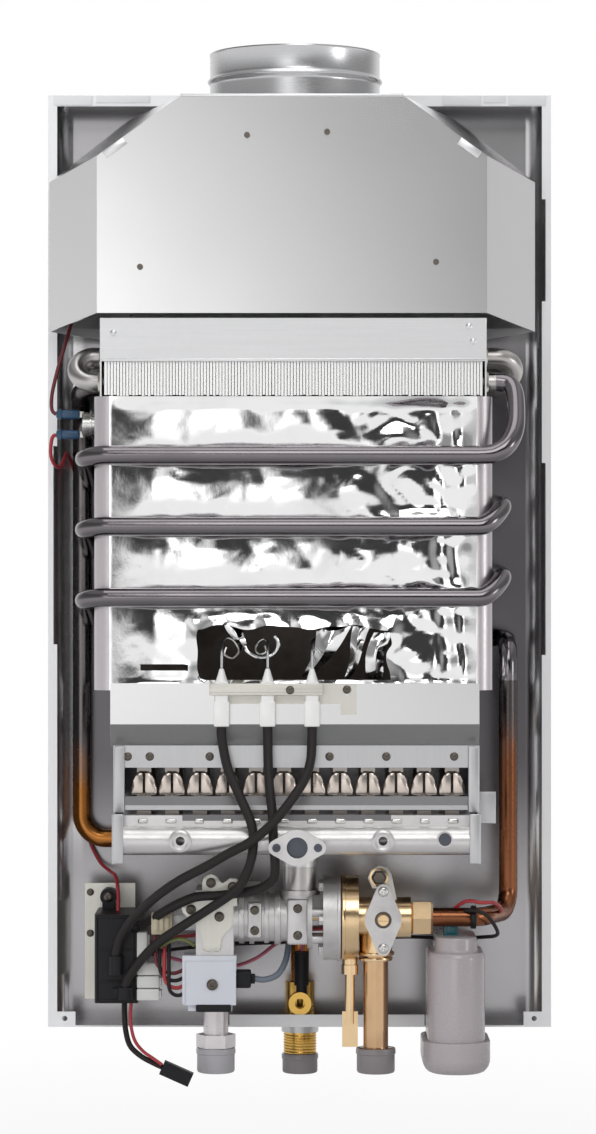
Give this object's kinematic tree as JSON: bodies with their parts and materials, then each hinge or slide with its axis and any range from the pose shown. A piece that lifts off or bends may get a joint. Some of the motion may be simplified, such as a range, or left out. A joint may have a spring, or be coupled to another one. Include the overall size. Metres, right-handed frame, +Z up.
{
  "type": "tankless gas water heater",
  "caption": "Wall-hung tankless gas water heater with its cover off: flue hood, finned exchanger, coil-wrapped chamber, burner, gas and water valves, battery box.",
  "frame": {"origin": "middle of the back panel's rear face, where it meets the wall", "axes": "+Z up, +Y into the wall, so the open front faces -Y; +X to the right seen from the front"},
  "size_m": [0.33, 0.1614, 0.6663],
  "materials": {
    "panel_paint": "satin pale grey paint",
    "galvanised": "bright galvanised sheet",
    "tinned": "tinned bright surface",
    "plated": "zinc-plated sheet",
    "copper": "bare copper with a heat tint",
    "brass": "machined brass",
    "die_cast": "die-cast, satin",
    "ceramic": "white glazed ceramic",
    "black_plastic": "matt black moulding",
    "grey_plastic": "grey moulding",
    "pale_plastic": "pale grey-blue moulding",
    "lead_rubber": "black silicone rubber",
    "red_wire": "red wire sleeve",
    "blue_sleeve": "blue terminal sleeve",
    "winding": "enamelled winding",
    "cell_jacket": "plain cell jacket"
  },
  "bodies": {
    "heater": {"back_panel": "panel_paint", "flue_hood": "galvanised", "flue_collar": "galvanised", "hood_screws": "plated", "fin_box": "tinned", "fin_stack": "tinned", "fin_tubes": "tinned", "combustion_chamber": "tinned", "chamber_brackets": "plated", "coil_tube": "tinned", "hot_pipe": "copper", "cold_riser": "copper", "overheat_switch": "blue_sleeve", "burner_side_plates": "plated", "flame_deflector": "plated", "burner_bars": "plated", "burner_blades": "plated", "gas_manifold": "die_cast", "injectors": "brass", "manifold_screws": "copper", "electrode_bracket": "plated", "electrode_insulators": "ceramic", "electrode_rods": "plated", "ignition_lead_left": "lead_rubber", "ignition_lead_middle": "lead_rubber", "ignition_lead_right": "lead_rubber", "igniter_box": "black_plastic", "igniter_bracket": "plated", "gas_riser": "die_cast", "gas_valve_body": "die_cast", "gas_valve_plate": "plated", "valve_bracket": "plated", "gas_inlet": "die_cast", "solenoid_yoke": "pale_plastic", "solenoid_coil": "winding", "water_valve_body": "brass", "diaphragm_cover": "die_cast", "diaphragm": "lead_rubber", "microswitch": "black_plastic", "regulator_plate": "die_cast", "union_nut": "brass", "cold_inlet_pipe": "copper", "hot_outlet": "brass", "outlet_probe": "black_plastic", "outlet_locknut": "plated", "battery_box": "grey_plastic", "battery_cells": "cell_jacket", "display_lead": "lead_rubber", "display_plug": "black_plastic", "overheat_lead": "red_wire", "probe_lead": "red_wire"},
    "gas_cap_body": {"gas_cap": "grey_plastic"},
    "cold_cap_body": {"cold_cap": "grey_plastic"},
    "hot_cap_body": {"hot_cap": "grey_plastic"},
    "battery_lid_body": {"battery_lid": "grey_plastic"},
    "drain_plug_body": {"drain_plug": "brass"},
    "regulator_spindle_body": {"regulator_spindle": "brass"},
    "push_rod_body": {"push_rod": "brass"},
    "switch_button_body": {"switch_button": "red_wire"},
    "solenoid_plunger_body": {"solenoid_plunger": "plated"}
  },
  "joints": [
    {"name": "gas_cap_pull", "type": "slide", "parent": "heater", "child": "gas_cap_body", "axis": [0, 0, -1], "range_m": [0, 0.05]},
    {"name": "cold_cap_pull", "type": "slide", "parent": "heater", "child": "cold_cap_body", "axis": [0, 0, -1], "range_m": [0, 0.05]},
    {"name": "hot_cap_pull", "type": "slide", "parent": "heater", "child": "hot_cap_body", "axis": [0, 0, -1], "range_m": [0, 0.05]},
    {"name": "battery_lid_hinge", "type": "hinge", "parent": "heater", "child": "battery_lid_body", "pos_m": [0.1, -0.0531, -0.307], "axis": [1, 0, 0], "range_deg": [0, 90]},
    {"name": "drain_turn", "type": "hinge", "parent": "heater", "child": "drain_plug_body", "pos_m": [0.0322, -0.108, -0.2875], "axis": [0, 0, 1], "range_deg": [0, 360]},
    {"name": "regulator_turn", "type": "hinge", "parent": "heater", "child": "regulator_spindle_body", "pos_m": [0.053, -0.12, -0.2275], "axis": [0, -1, 0], "range_deg": [0, 270]},
    {"name": "push_rod_slide", "type": "slide", "parent": "heater", "child": "push_rod_body", "axis": [-1, 0, 0], "range_m": [0, 0.004], "stiffness_N_per_m": 300},
    {"name": "switch_button_slide", "type": "slide", "parent": "heater", "child": "switch_button_body", "axis": [-1, 0, 0], "range_m": [0, 0.004], "stiffness_N_per_m": 100},
    {"name": "solenoid_slide", "type": "slide", "parent": "heater", "child": "solenoid_plunger_body", "axis": [0, 0, 1], "range_m": [0, 0.003], "stiffness_N_per_m": 200}
  ],
  "couplings": [
    {"joint": "switch_button_slide", "follows": "push_rod_slide", "ratio": 1}
  ]
}
